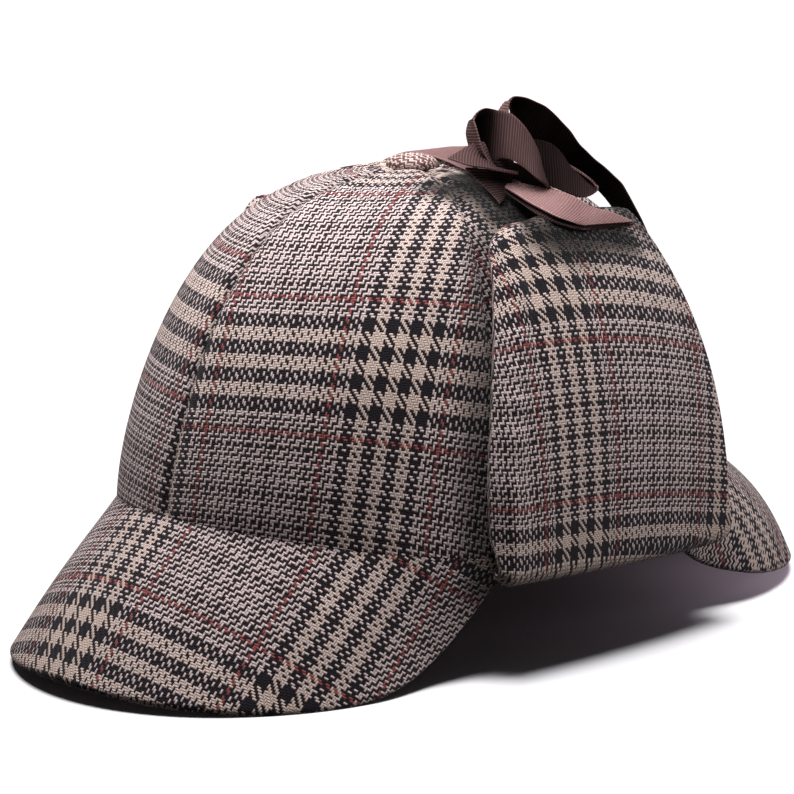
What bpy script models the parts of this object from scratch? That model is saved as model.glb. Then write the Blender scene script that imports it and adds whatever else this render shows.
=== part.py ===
"""Deerstalker hat: a six-gore tweed crown with a visor at the front and at the back,
two ear flaps folded up against its sides and ribbon ties knotted in a bow on top.

Metres, +Z up. The front of the hat faces -Y and the wearer's left is +X. The hat stands on z = 0 on
the edges of its two visors. An azimuth is measured round +Z from the front, towards +X.
"""

import math

import bmesh
import bpy
from mathutils import Vector

MM = 0.001

# Crown, measured on its outside
CROWN_HALF_WIDTH = 0.0825
CROWN_HALF_LENGTH = 0.1095
CROWN_RISE = 0.1055           # from the mean height of the lower edge to the apex
RIM_HEIGHT = 0.0427           # mean height of the lower edge
RIM_WAVE = 0.0068             # the edge is this much higher at front and back, lower at the sides
PROFILE_WIDTH_POWER = 0.615   # how square the shoulder of the dome is, across
PROFILE_RISE_POWER = 1.40     # and upwards
CROWN_WALL = 0.0022
SEAMS = (0.0, 70.0, 110.0, 180.0, 250.0, 290.0, 360.0)   # azimuths between the six gores
SEAM_DIP = 0.0009             # how deep each seam sits in the cloth
APEX_HOLE = 0.0032            # radius left open under the button
GAP = 0.0003                  # between neighbouring pieces

# Visors
VISOR_END = 72.0              # azimuth from the visor's own middle where it runs out, degrees
VISOR_THICKNESS = 0.0036
FRONT_CROWNING = 0.03         # bulge of the visor along its slope, as a share of its length
REAR_CROWNING = 0.10
# azimuth from the middle in degrees, reach outwards and drop below the rim in mm
FRONT_VISOR = (
    # azimuth, reach, drop
    (0.0, 44.8, 43.2),
    (15.0, 41.0, 44.9),
    (30.0, 30.8, 45.4),
    (45.0, 17.0, 41.8),
    (57.0, 3.0, 31.0),
    (VISOR_END, 0.0, 0.0),
)
REAR_VISOR = (
    # azimuth, reach, drop
    (0.0, 45.0, 48.6),
    (15.0, 42.5, 47.0),
    (30.0, 34.0, 41.8),
    (45.0, 19.5, 34.0),
    (57.0, 3.0, 22.8),
    (VISOR_END, 0.0, 0.0),
)

# Ear flaps, folded up
FLAP_THICKNESS = 0.0062
FLAP_CLEARANCE = 0.0008       # between the flap and the crown at the base
FLAP_TOP = 0.105              # length up the side of the crown
FLAP_CORNER = 0.008           # corner radius at the tip
FLAP_EDGE = 0.005             # width over which the edge rolls over
FLAP_EDGE_SHARE = 0.38        # thickness left at the very edge, as a share of the whole
FOOT_LENGTH = 0.0055          # turn-in under the rim, where the flap is sewn on
FOOT_HALF_WIDTH = 0.029
FOOT_FADE = 0.0015            # width over which the turn-in ends at each side
FOOT_STUB = 0.0010            # what is left of it beyond that
FLAP_SAG_SPAN = 0.100         # length along the base over which the sag comes in
# height along the side, half width and offset of the middle towards the back, in mm
FLAP_OUTLINE = (
    # height, half width, offset
    (-8.0, 53.0, 7.0),
    (0.0, 54.8, 7.4),
    (25.0, 55.6, 7.6),
    (50.0, 51.5, 9.5),
    (75.0, 44.0, 10.5),
    (105.0, 32.2, 10.2),
)
# How each flap lies: how far it sits to the back, how far its tip is lifted off the crown, its
# middle bellies out and its rear corner sags, and its curvature across (1/m) at base and tip
FLAP_HANGS = (
    # name, side, shift, lift, belly, sag, base curvature, tip curvature
    ("ear_flap_left", 1, 0.0, 0.0045, 0.0024, 0.0034, 2.2, 9.0),
    ("ear_flap_right", -1, -0.0050, 0.0012, 0.0012, 0.0010, 4.5, 7.4),
)

# Button
BUTTON_RADIUS = 0.0085
BUTTON_HEIGHT = 0.0046
BUTTON_DOME = 0.0030          # height of its rounded top
BUTTON_ROUNDING = 0.0012      # of its lower edge
BUTTON_SHANK = 0.0026

# Ribbon
RIBBON_WIDTH = 0.015
RIBBON_THICKNESS = 0.0010
KNOT_CENTRE = (36.0, 2.0, 150.5)      # mm
KNOT_SIZE = (11.0, 12.0, 11.0)        # mm
# Each row is a section of the ribbon: its middle in mm, the direction of its width and its
# width as a share of the whole.
RIBBONS = {
    "tie_left": (
        # x, y, z, width x, width y, width z, share
        (41.5, -8.0, 151.2, -7.0, -6.5, 3.0, 0.95),
        (44.0, -10.0, 147.0, -1.0, -9.6, 3.0, 0.85),
        (47.5, -11.5, 143.0, 3.0, -9.2, 2.6, 0.60),
        (50.5, -12.0, 138.8, 4.0, -9.0, 2.2, 0.45),
    ),
    "tie_right": (
        (25.5, 3.5, 150.9, -1.5, 8.8, -3.0, 0.80),
        (18.0, 7.0, 151.3, -1.0, 9.4, -2.5, 0.90),
        (8.0, 13.0, 151.2, -1.0, 9.8, -2.0, 1.00),
        (-6.0, 19.5, 150.0, 1.0, 9.8, -1.4, 1.00),
        (-20.0, 24.5, 147.6, 3.0, 9.2, -1.6, 1.00),
        (-33.0, 27.0, 143.8, 3.0, 9.2, -2.2, 1.00),
        (-41.5, 26.5, 139.6, 3.0, 9.0, -3.0, 1.00),
    ),
    "bow_loop_front": (
        (39.0, 11.5, 145.6, -7.2, 5.8, 0.8, 0.60),
        (41.5, 15.5, 144.6, -7.2, 6.8, 1.2, 0.75),
        (43.2, 15.2, 148.2, -6.8, 6.8, 2.8, 0.90),
        (44.5, 8.0, 153.5, -5.5, 5.5, 6.3, 1.00),
        (44.5, 1.4, 158.6, -4.0, 5.2, 7.6, 1.00),
        (42.6, -3.2, 161.0, -1.0, 1.6, 9.8, 1.00),
        (36.3, -3.9, 161.2, -1.6, 1.0, 9.8, 1.00),
        (30.5, -5.0, 160.6, -1.9, 0.6, 9.8, 1.00),
        (26.2, -2.6, 160.0, 0.0, -1.5, 9.7, 0.90),
        (25.0, 2.5, 159.2, 1.0, -2.0, 9.2, 0.80),
        (26.0, 6.5, 158.6, 1.0, -1.0, 9.2, 0.60),
    ),
    "bow_strip": (
        (29.5, 10.5, 158.0, -1.3, 1.3, 9.8, 0.80),
        (25.5, 12.5, 161.0, -1.3, 1.3, 9.8, 1.00),
        (24.5, 16.5, 163.6, -1.0, 1.6, 9.8, 1.00),
        (26.5, 21.5, 163.6, -1.0, 3.5, 9.2, 1.00),
        (28.0, 27.5, 161.2, -3.4, 6.0, 7.2, 0.95),
        (29.5, 37.5, 155.4, -4.3, 7.6, 4.9, 0.90),
        (31.5, 50.0, 146.0, -4.0, 8.6, 3.0, 0.90),
        (34.5, 58.0, 137.8, -3.0, 9.4, 1.2, 0.90),
        (36.5, 63.5, 128.5, -2.5, 9.7, 0.6, 0.90),
        (37.5, 65.8, 123.0, -2.5, 9.6, 0.4, 0.90),
    ),
    "bow_loop_rear": (
        (34.0, 23.5, 148.8, -5.0, 6.2, 5.6, 0.75),
        (38.5, 28.5, 146.2, -4.8, 7.2, 5.0, 0.80),
        (42.0, 33.0, 143.4, -5.3, 7.7, 3.6, 0.80),
        (42.0, 38.5, 140.8, -5.9, 8.0, 1.3, 0.80),
        (38.0, 42.0, 139.8, -5.9, 8.0, 0.6, 0.80),
        (32.5, 40.5, 141.4, -6.0, 7.9, 0.2, 0.80),
        (29.5, 34.5, 143.8, -6.0, 7.5, 0.4, 0.80),
        (29.0, 28.0, 146.2, -5.8, 7.2, 1.0, 0.80),
    ),
    "bow_tail_left": (
        (44.5, -9.8, 155.0, -5.7, 5.6, 6.0, 0.85),
        (41.1, -12.3, 157.2, -5.7, 5.6, 6.0, 1.00),
        (36.8, -15.8, 156.4, -6.5, 6.0, 4.5, 0.75),
        (32.5, -18.2, 156.0, -6.5, 6.0, 3.5, 0.25),
    ),
    "bow_tail_right": (
        (44.5, -1.0, 146.0, -6.0, 8.0, 1.6, 0.80),
        (48.5, 2.0, 143.8, -5.5, 8.2, 1.8, 0.95),
        (54.4, 6.1, 142.4, -4.6, 8.6, 2.4, 1.00),
        (61.5, 12.0, 140.2, -2.0, 9.2, 2.2, 1.05),
        (69.2, 18.8, 136.6, 3.0, 9.4, 1.0, 1.10),
    ),
}

# Colour and roughness of each material
TWEED = ((0.24, 0.19, 0.175, 1.0), 0.9)
RIBBON = ((0.055, 0.030, 0.028, 1.0), 0.6)


def material(name, look):
    """A Principled material of the given colour and roughness."""
    made = bpy.data.materials.new(name)
    made.use_nodes = True
    shader = made.node_tree.nodes["Principled BSDF"]
    shader.inputs["Base Color"].default_value = look[0]
    shader.inputs["Roughness"].default_value = look[1]
    shader.inputs["Metallic"].default_value = 0.0
    made.diffuse_color = look[0]
    return made


def smooth_row(table, place):
    """The table's other columns at a place along its first column, on a smooth curve."""
    last = len(table) - 1
    step = 0
    while step < last - 1 and place > table[step + 1][0]:
        step += 1
    low, high = table[step], table[step + 1]
    span = high[0] - low[0]
    share = min(max((place - low[0]) / span, 0.0), 1.0)

    def slope(row, column):
        # the table is even about its first row, so its slope is nought there
        if row == 0:
            return 0.0
        before, after = table[row - 1], table[min(row + 1, last)]
        return (after[column] - before[column]) / (after[0] - before[0])

    values = []
    for column in range(1, len(low)):
        start, end = low[column], high[column]
        rise = slope(step, column) * span
        fall = slope(step + 1, column) * span
        values.append(
            (2 * share**3 - 3 * share**2 + 1) * start
            + (share**3 - 2 * share**2 + share) * rise
            + (3 * share**2 - 2 * share**3) * end
            + (share**3 - share**2) * fall
        )
    return values


def crown_point(azimuth, rise, inset=0.0):
    """A point of the crown: azimuth in radians, rise from 0 at the rim to 1 at the apex."""
    angle = rise * math.pi / 2
    width = math.cos(angle) ** PROFILE_WIDTH_POWER
    height = math.sin(angle) ** PROFILE_RISE_POWER
    wave = RIM_WAVE * math.cos(2 * azimuth) * (1 - rise) * (1 - height)
    return Vector((
        (CROWN_HALF_WIDTH - inset) * width * math.sin(azimuth),
        -(CROWN_HALF_LENGTH - inset) * width * math.cos(azimuth),
        RIM_HEIGHT + wave + (CROWN_RISE - inset) * height,
    ))


def crown_radius(rise):
    """Mean horizontal radius of the crown at a rise."""
    width = math.cos(rise * math.pi / 2) ** PROFILE_WIDTH_POWER
    return width * (CROWN_HALF_WIDTH + CROWN_HALF_LENGTH) / 2


def rise_at_radius(radius):
    """The rise at which the crown has a given mean radius."""
    share = 2 * radius / (CROWN_HALF_WIDTH + CROWN_HALF_LENGTH)
    return math.acos(share ** (1 / PROFILE_WIDTH_POWER)) / (math.pi / 2)


def shell(name, outer, inner, look, collection):
    """One closed body between two grids of points with the same rows and columns."""
    rows, columns = len(outer), len(outer[0])
    mesh = bpy.data.meshes.new(name)
    bm = bmesh.new()
    top = [[bm.verts.new(point) for point in row] for row in outer]
    under = [[bm.verts.new(point) for point in row] for row in inner]
    for i in range(rows - 1):
        for j in range(columns - 1):
            bm.faces.new((top[i][j], top[i][j + 1], top[i + 1][j + 1], top[i + 1][j]))
            bm.faces.new((under[i][j], under[i + 1][j], under[i + 1][j + 1], under[i][j + 1]))
    border = [(0, j) for j in range(columns)]
    border += [(i, columns - 1) for i in range(1, rows)]
    border += [(rows - 1, j) for j in range(columns - 2, -1, -1)]
    border += [(i, 0) for i in range(rows - 2, 0, -1)]
    for (i, j), (k, m) in zip(border, border[1:] + border[:1]):
        bm.faces.new((top[i][j], under[i][j], under[k][m], top[k][m]))
    bmesh.ops.recalc_face_normals(bm, faces=bm.faces[:])
    bm.to_mesh(mesh)
    bm.free()
    mesh.shade_smooth()
    mesh.set_sharp_from_angle(angle=math.radians(50))
    mesh.materials.append(look)
    made = bpy.data.objects.new(name, mesh)
    collection.objects.link(made)
    return made


def grid_normals(grid):
    """Unit normals of a grid of points, from its neighbours."""
    rows, columns = len(grid), len(grid[0])
    normals = []
    for i in range(rows):
        row = []
        for j in range(columns):
            along = grid[min(i + 1, rows - 1)][j] - grid[max(i - 1, 0)][j]
            across = grid[i][min(j + 1, columns - 1)] - grid[i][max(j - 1, 0)]
            row.append(along.cross(across).normalized())
        normals.append(row)
    return normals


def crown_panel(name, first_seam, last_seam, look, collection):
    """One gore of the crown, between two seams given in degrees."""
    angles = (0, 6, 14, 24, 35, 46, 56, 65, 72.5, 79, 84)
    rises = [angle / 90 for angle in angles] + [rise_at_radius(APEX_HOLE)]
    shares = (0.0, 0.07, 0.25, 0.5, 0.75, 0.93, 1.0)
    dips = (1.0, 0.25, 0.0, 0.0, 0.0, 0.25, 1.0)
    first, width = math.radians(first_seam), math.radians(last_seam - first_seam)
    outer, inner = [], []
    for rise in rises:
        margin = GAP / 2 / crown_radius(rise)
        azimuths = [first + margin + (width - 2 * margin) * share for share in shares]
        outer.append([crown_point(a, rise, SEAM_DIP * dip) for a, dip in zip(azimuths, dips)])
        inner.append([crown_point(a, rise, CROWN_WALL) for a in azimuths])
    return shell(name, outer, inner, look, collection)


def visor(name, table, middle, crowning, look, collection):
    """A crescent visor: middle is 0 at the front and pi at the back."""
    lengths = (0.0, 0.15, 0.35, 0.58, 0.80, 0.94, 1.0)
    steps = 15
    span = VISOR_END * 0.985
    top = []
    for share in lengths:
        row = []
        for step in range(-steps, steps + 1):
            turn = span * step / steps
            reach, drop = [value * MM for value in smooth_row(table, abs(turn))]
            azimuth = middle + math.radians(turn)
            start = crown_point(azimuth, 0.0)
            outwards = Vector((
                math.sin(azimuth) / CROWN_HALF_WIDTH,
                -math.cos(azimuth) / CROWN_HALF_LENGTH,
                0.0,
            )).normalized()
            bulge = crowning * math.sin(math.pi * share)
            point = start + outwards * (reach * share + drop * bulge)
            point.z += reach * bulge - drop * share - GAP
            row.append(point)
        top.append(row)
    normals = grid_normals(top)
    flip = -1 if normals[3][steps].z < 0 else 1
    outer, inner = [], []
    for i, share in enumerate(lengths):
        pinch = 0.3 if share == 1.0 else 0.0
        outer.append([])
        inner.append([])
        for point, normal in zip(top[i], normals[i]):
            inwards = normal * (-flip * VISOR_THICKNESS)
            if share == 0.0:
                inwards.z = min(inwards.z, 0.0)
            outer[i].append(point + inwards * pinch)
            inner[i].append(point + inwards * (1 - pinch))
    made = shell(name, outer, inner, look, collection)
    press_flat(made)
    return made


def press_flat(made):
    """Cut the piece level at z = 0, where it rests."""
    mesh = made.data
    bm = bmesh.new()
    bm.from_mesh(mesh)
    everything = bm.verts[:] + bm.edges[:] + bm.faces[:]
    bmesh.ops.bisect_plane(
        bm, geom=everything, plane_co=(0, 0, 0), plane_no=(0, 0, 1), clear_inner=True
    )
    rim = [edge for edge in bm.edges if edge.is_boundary]
    bmesh.ops.holes_fill(bm, edges=rim, sides=0)
    bmesh.ops.recalc_face_normals(bm, faces=bm.faces[:])
    bm.to_mesh(mesh)
    bm.free()


def side_profile(height):
    """The crown's side: its point and outward direction at a height along the cloth."""
    samples = 60
    previous = crown_point(math.pi / 2, 0.0)
    if height <= 0:
        return previous + Vector((0, 0, height)), Vector((1, 0, 0))
    walked = 0.0
    for step in range(1, samples + 1):
        point = crown_point(math.pi / 2, step / samples)
        length = (point - previous).length
        if walked + length >= height or step == samples:
            along = (point - previous).normalized()
            return previous + along * (height - walked), Vector((along.z, 0, -along.x))
        walked += length
        previous = point
    return previous, Vector((0, 0, 1))


def flap_middle(place, across, lift, belly, sag, base_curve, tip_curve):
    """A point half way through the flap's thickness, and the outward direction there.

    place is the distance up the side; below nought it runs round the fold and in under the rim.
    """
    hang = sag * min(max(0.5 + across / FLAP_SAG_SPAN, 0.0), 1.0)
    share = min(max(place / FLAP_TOP, 0.0), 1.0)
    curve = base_curve + (tip_curve - base_curve) * share
    radius = FLAP_THICKNESS / 2
    bend = radius * math.pi / 2
    hollow = curve * across**2 / 2
    if place >= 0:
        point, outwards = side_profile(place)
        raised = lift * share**2 + belly * math.sin(math.pi * share)
        stand_off = FLAP_CLEARANCE + radius + raised - hollow
        point = point + outwards * stand_off
        point.z -= (GAP + hang) * (1 - share)
    else:
        corner, outwards = side_profile(0)
        corner = corner + Vector((FLAP_CLEARANCE - hollow, 0, -GAP))
        if place > -bend:
            turn = -place / radius
            outwards = Vector((math.cos(turn), 0, -math.sin(turn)))
            point = corner + outwards * radius
        else:
            outwards = Vector((0, 0, -1))
            point = corner + Vector((place + bend, 0, -radius))
        point.z -= hang
    return point, outwards


def ear_flap(name, side, shift, hang, look, collection):
    """An ear flap folded up: side is 1 on the left of the hat and -1 on its right."""
    heights = [0, 10, 22, 35, 48, 61, 73, 84, 92, 98, 102, 104.3, 105]
    turns = (0.33, 0.67, 1.0)
    shares = (-1.0, -0.95, -0.86, -0.66, -0.40, -0.13, 0.13, 0.40, 0.66, 0.86, 0.95, 1.0)
    bend = FLAP_THICKNESS * math.pi / 4
    places = [("foot", 1.0), ("foot", 0.5)]
    places += [("bend", turn) for turn in reversed(turns)]
    places += [("side", height * MM) for height in heights]
    outer, inner = [], []
    for kind, value in places:
        outer_row, inner_row = [], []
        base = {"foot": -8.0, "bend": -8.0 * value}.get(kind, value / MM)
        half, offset = [column * MM for column in smooth_row(FLAP_OUTLINE, base)]
        if kind == "side" and value > FLAP_TOP - FLAP_CORNER:
            over = value - (FLAP_TOP - FLAP_CORNER)
            half -= FLAP_CORNER - math.sqrt(max(FLAP_CORNER**2 - over**2, 0.0))
        for share in shares:
            across = half * share
            tuck = 1 / (1 + math.exp((abs(across) - FOOT_HALF_WIDTH) / FOOT_FADE))
            foot = FOOT_STUB + (FOOT_LENGTH - FOOT_STUB) * tuck
            place = {"foot": -bend - foot * value, "bend": -bend * value}.get(kind, value)
            point, outwards = flap_middle(place, across, *hang)
            point.y = across + offset + shift
            from_edge = min(half - abs(across), FLAP_TOP - value if kind == "side" else 1.0)
            edge = 1 - min(max(from_edge / FLAP_EDGE, 0.0), 1.0)
            body = FLAP_THICKNESS / 2 * max(math.sqrt(1 - edge**2), FLAP_EDGE_SHARE)
            for row, sign in ((outer_row, 1), (inner_row, -1)):
                moved = point + outwards * (body * sign)
                row.append(Vector((moved.x * side, moved.y, moved.z)))
        outer.append(outer_row)
        inner.append(inner_row)
    return shell(name, outer, inner, look, collection)


def ribbon(name, sections, look, collection):
    """A flat ribbon through its sections, smooth along its length."""
    steps = 3
    middles = [Vector(row[:3]) * MM for row in sections]
    widths = [Vector(row[3:6]).normalized() * (RIBBON_WIDTH / 2 * row[6]) for row in sections]
    last = len(sections) - 1
    edges = []
    for index in range(last * steps + 1):
        low = min(index // steps, last - 1)
        share = index / steps - low
        around = [min(max(low + k, 0), last) for k in (-1, 0, 1, 2)]
        middle = catmull_rom([middles[k] for k in around], share)
        width = catmull_rom([widths[k] for k in around], share)
        edges.append([middle - width, middle + width])
    normals = grid_normals(edges)
    half = RIBBON_THICKNESS / 2
    outer = [[p + n * half for p, n in zip(row, line)] for row, line in zip(edges, normals)]
    inner = [[p - n * half for p, n in zip(row, line)] for row, line in zip(edges, normals)]
    return shell(name, outer, inner, look, collection)


def catmull_rom(points, share):
    """A point between the middle two of four points."""
    a, b, c, d = points
    return 0.5 * (
        2 * b
        + (c - a) * share
        + (2 * a - 5 * b + 4 * c - d) * share**2
        + (3 * b - a - 3 * c + d) * share**3
    )


def button(look, collection):
    """The covered button on the apex, a low dome with a short shank through the crown."""
    base = RIM_HEIGHT + CROWN_RISE + GAP
    waist = base + BUTTON_HEIGHT - BUTTON_DOME
    # radius and height of the profile, from the top down
    profile = [
        (BUTTON_RADIUS * math.sin(angle), waist + BUTTON_DOME * math.cos(angle))
        for angle in (math.radians(step) for step in (0, 22, 45, 68, 90))
    ]
    shank = APEX_HOLE - 2 * GAP
    profile += [(BUTTON_RADIUS - BUTTON_ROUNDING / 4, base + BUTTON_ROUNDING / 3)]
    profile += [(BUTTON_RADIUS - BUTTON_ROUNDING, base)]
    profile += [(shank, base), (shank, base - BUTTON_SHANK), (0.0, base - BUTTON_SHANK)]
    mesh = bpy.data.meshes.new("crown_button")
    bm = bmesh.new()
    points = [bm.verts.new((radius, 0.0, height)) for radius, height in profile]
    for above, below in zip(points, points[1:]):
        bm.edges.new((above, below))
    bm.to_mesh(mesh)
    bm.free()
    made = bpy.data.objects.new("crown_button", mesh)
    collection.objects.link(made)
    screw = made.modifiers.new("turned", "SCREW")
    screw.steps = screw.render_steps = 16
    screw.use_merge_vertices = True
    screw.merge_threshold = 0.00005
    mesh.materials.append(look)
    return made


def knot(look, collection):
    """The knot of the bow, a soft block with rounded edges."""
    bpy.ops.mesh.primitive_cube_add(size=1.0)
    made = bpy.context.object
    made.name = made.data.name = "bow_knot"
    for vertex in made.data.vertices:
        vertex.co = Vector(c * s for c, s in zip(vertex.co, KNOT_SIZE)) * MM
    made.location = Vector(KNOT_CENTRE) * MM
    soft = made.modifiers.new("soft", "SUBSURF")
    soft.levels = soft.render_levels = 2
    made.data.materials.append(look)
    for group in made.users_collection:
        group.objects.unlink(made)
    collection.objects.link(made)
    return made


def build():
    for old in list(bpy.data.objects):
        bpy.data.objects.remove(old)
    collection = bpy.data.collections.new("deerstalker_hat")
    bpy.context.scene.collection.children.link(collection)

    places = ("front_left", "side_left", "back_left", "back_right", "side_right", "front_right")
    for place, first_seam, last_seam in zip(places, SEAMS, SEAMS[1:]):
        name = "crown_panel_" + place
        crown_panel(name, first_seam, last_seam, material(name + "_tweed", TWEED), collection)
    button(material("crown_button_tweed", TWEED), collection)
    visor("front_visor", FRONT_VISOR, 0.0, FRONT_CROWNING,
          material("front_visor_tweed", TWEED), collection)
    visor("rear_visor", REAR_VISOR, math.pi, REAR_CROWNING,
          material("rear_visor_tweed", TWEED), collection)
    for name, side, shift, *hang in FLAP_HANGS:
        ear_flap(name, side, shift, hang, material(name + "_tweed", TWEED), collection)
    knot(material("bow_knot_ribbon", RIBBON), collection)
    for name, sections in RIBBONS.items():
        ribbon(name, sections, material(name + "_ribbon", RIBBON), collection)


build()
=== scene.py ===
import math

import bpy
import numpy as np
from mathutils import Matrix, Vector
from mathutils.kdtree import KDTree


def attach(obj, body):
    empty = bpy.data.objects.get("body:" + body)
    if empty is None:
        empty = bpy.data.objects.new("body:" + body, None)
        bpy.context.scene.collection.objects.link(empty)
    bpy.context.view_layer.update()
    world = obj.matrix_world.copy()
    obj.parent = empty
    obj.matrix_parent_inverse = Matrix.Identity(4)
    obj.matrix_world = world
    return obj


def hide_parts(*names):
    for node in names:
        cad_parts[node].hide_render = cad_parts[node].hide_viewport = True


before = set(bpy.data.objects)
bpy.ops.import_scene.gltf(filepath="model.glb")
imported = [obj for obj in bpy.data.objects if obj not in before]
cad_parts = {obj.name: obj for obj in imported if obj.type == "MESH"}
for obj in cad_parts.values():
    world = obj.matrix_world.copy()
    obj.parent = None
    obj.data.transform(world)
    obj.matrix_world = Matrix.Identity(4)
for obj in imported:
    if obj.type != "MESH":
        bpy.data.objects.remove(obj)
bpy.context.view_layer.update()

# The tweed deerstalker hat, dressed around its solids.
# Metres, +Z up, front -Y, wearer's left +X. An azimuth turns from the front towards +X.
mm = 0.001

view = dict(
    azimuth=45.7584,        # degrees, 0 looks at the front
    elevation=11.7766,
    distance=1.1115,
    aimHeight=0.0711,
    aimAcross=-0.0065,      # along the picture, to the right
    pixelsPerMetre=3019.503,    # at the aim point
    framePixels=794,
    sensor=36.0,
)
studio = dict(
    floorColour=(0.78, 0.77, 0.79, 1),
    floorRoughness=0.9,
    floorSize=30.0,
    floorDrop=0.0003,       # the floor lies this far under the hat
    skyColour=(1.0, 0.985, 1.0, 1),
    skyStrength=0.03,
    hatMiddle=(0, 0, 0.1),  # what the softboxes are turned to
    # round softboxes: place, diameter, watts, colour, what they light
    softboxes={
        "overhead": ((0, 0, 0.42), 0.22, 0.57, (1, 1, 1), "hat"),
        "overheadLeft": ((-0.18, -0.18, 0.42), 0.22, 1.25, (1, 1, 1), "hat"),
        "overheadFront": ((0.12, -0.12, 0.42), 0.22, 0.85, (1, 1, 1), "hat"),
        "floorGlow": ((0.125, 0.150, 0.030), 0.05, 0.014, (1.0, 0.80, 1.0), "floor"),
        "glowUnderHat": ((0.062, 0.124, 0.036), 0.03, 0.0064, (1.0, 0.80, 0.96), "floor"),
    },
    unshadowed=("glowUnderHat",),       # shines straight down, and the hat doesn't shade it
    # far lamps: direction from the hat, strength, spread in degrees, colour, what they light
    farLamps={
        "sideFill": ((0.612, 0.612, 0.5), 1.60, 40, (1, 1, 1), "hat"),
        "floorLamp": ((0.018, -0.05, 1), 4.6, 26, (1, 1, 1), "floor"),
    },
)


def pictureAxes():
    # the picture's right, its up and the direction back to the camera
    azimuth, elevation = math.radians(view["azimuth"]), math.radians(view["elevation"])
    right = np.array([math.cos(azimuth), math.sin(azimuth), 0])
    back = np.array([math.sin(azimuth) * math.cos(elevation),
                     -math.cos(azimuth) * math.cos(elevation), math.sin(elevation)])
    return right, np.cross(back, right), back


def aimPoint():
    return np.array([0, 0, view["aimHeight"]]) + pictureAxes()[0] * view["aimAcross"]


def makeCamera():
    axes = [Vector(axis) for axis in pictureAxes()]
    data = bpy.data.cameras.new("photoCamera")
    data.sensor_width = view["sensor"]
    data.lens = view["sensor"] * view["pixelsPerMetre"] * view["distance"] / view["framePixels"]
    data.clip_end = 2 * studio["floorSize"]
    camera = bpy.data.objects.new("photoCamera", data)
    place = Vector(aimPoint()) + axes[2] * view["distance"]
    camera.matrix_world = Matrix.Translation(place) @ Matrix(axes).transposed().to_4x4()
    bpy.context.collection.objects.link(camera)
    bpy.context.scene.camera = camera


def makeStudio():
    scene = bpy.context.scene
    scene.view_settings.view_transform = "Standard"
    world = bpy.data.worlds.new("paleRoom")
    world.use_nodes = True
    sky = world.node_tree.nodes["Background"]
    sky.inputs["Color"].default_value = studio["skyColour"]
    sky.inputs["Strength"].default_value = studio["skyStrength"]
    scene.world = world

    half = studio["floorSize"] / 2
    sheet = bpy.data.meshes.new("floor")
    corners = [(-half, -half, 0), (half, -half, 0), (half, half, 0), (-half, half, 0)]
    sheet.from_pydata(corners, [], [(0, 1, 2, 3)])
    floor = bpy.data.objects.new("floor", sheet)
    floor.location.z = -studio["floorDrop"]
    look = bpy.data.materials.new("floorPaper")
    look.use_nodes = True
    paper = look.node_tree.nodes["Principled BSDF"]
    paper.inputs["Base Color"].default_value = studio["floorColour"]
    paper.inputs["Roughness"].default_value = studio["floorRoughness"]
    sheet.materials.append(look)
    bpy.context.collection.objects.link(floor)
    floor.visible_diffuse = False       # the white floor doesn't wash out the cloth above it

    for name, (place, diameter, watts, colour, lights) in studio["softboxes"].items():
        box = bpy.data.lights.new(name, "AREA")
        box.shape, box.size, box.energy, box.color = "DISK", diameter, watts, colour
        fromHat = Vector(place) - Vector(studio["hatMiddle"])
        hangLamp(box, (0, 0, 1) if name in studio["unshadowed"] else fromHat, place, floor, lights)
    for name, (direction, strength, spread, colour, lights) in studio["farLamps"].items():
        far = bpy.data.lights.new(name, "SUN")
        far.energy, far.angle, far.color = strength, math.radians(spread), colour
        hangLamp(far, direction, (0, 0, 1), floor, lights)


def hangLamp(light, direction, place, floor, lights):
    # a lamp that shines from that direction and lights the floor alone, or all but the floor
    lamp = bpy.data.objects.new(light.name, light)
    lamp.location = place
    lamp.rotation_mode = "QUATERNION"
    lamp.rotation_quaternion = Vector(direction).to_track_quat("Z", "Y")
    lamp.visible_camera = False
    bpy.context.collection.objects.link(lamp)
    chosen = bpy.data.collections.new(light.name + "Lights")
    chosen.objects.link(floor)
    chosen.collection_objects[0].light_linking.link_state = "INCLUDE" if lights == "floor" else "EXCLUDE"
    lamp.light_linking.receiver_collection = chosen
    if light.name in studio["unshadowed"]:
        lamp.light_linking.blocker_collection = chosen


print("camera and studio")
makeCamera()
makeStudio()


class Value:
    # a socket that varies over the surface; its operators add Math nodes
    def __init__(self, look, socket):
        self.look = look
        self.socket = socket

    def __add__(self, other):
        return self.look.maths("ADD", self, other)

    def __radd__(self, other):
        return self.look.maths("ADD", other, self)

    def __sub__(self, other):
        return self.look.maths("SUBTRACT", self, other)

    def __rsub__(self, other):
        return self.look.maths("SUBTRACT", other, self)

    def __mul__(self, other):
        return self.look.maths("MULTIPLY", self, other)

    def __rmul__(self, other):
        return self.look.maths("MULTIPLY", other, self)

    def __truediv__(self, other):
        return self.look.maths("DIVIDE", self, other)

    def __mod__(self, other):
        return self.look.maths("FLOORED_MODULO", self, other)

    def __lt__(self, other):
        return self.look.maths("LESS_THAN", self, other)

    def __gt__(self, other):
        return self.look.maths("GREATER_THAN", self, other)

    def floor(self):
        return self.look.maths("FLOOR", self)

    def size(self):
        return self.look.maths("ABSOLUTE", self)


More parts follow.
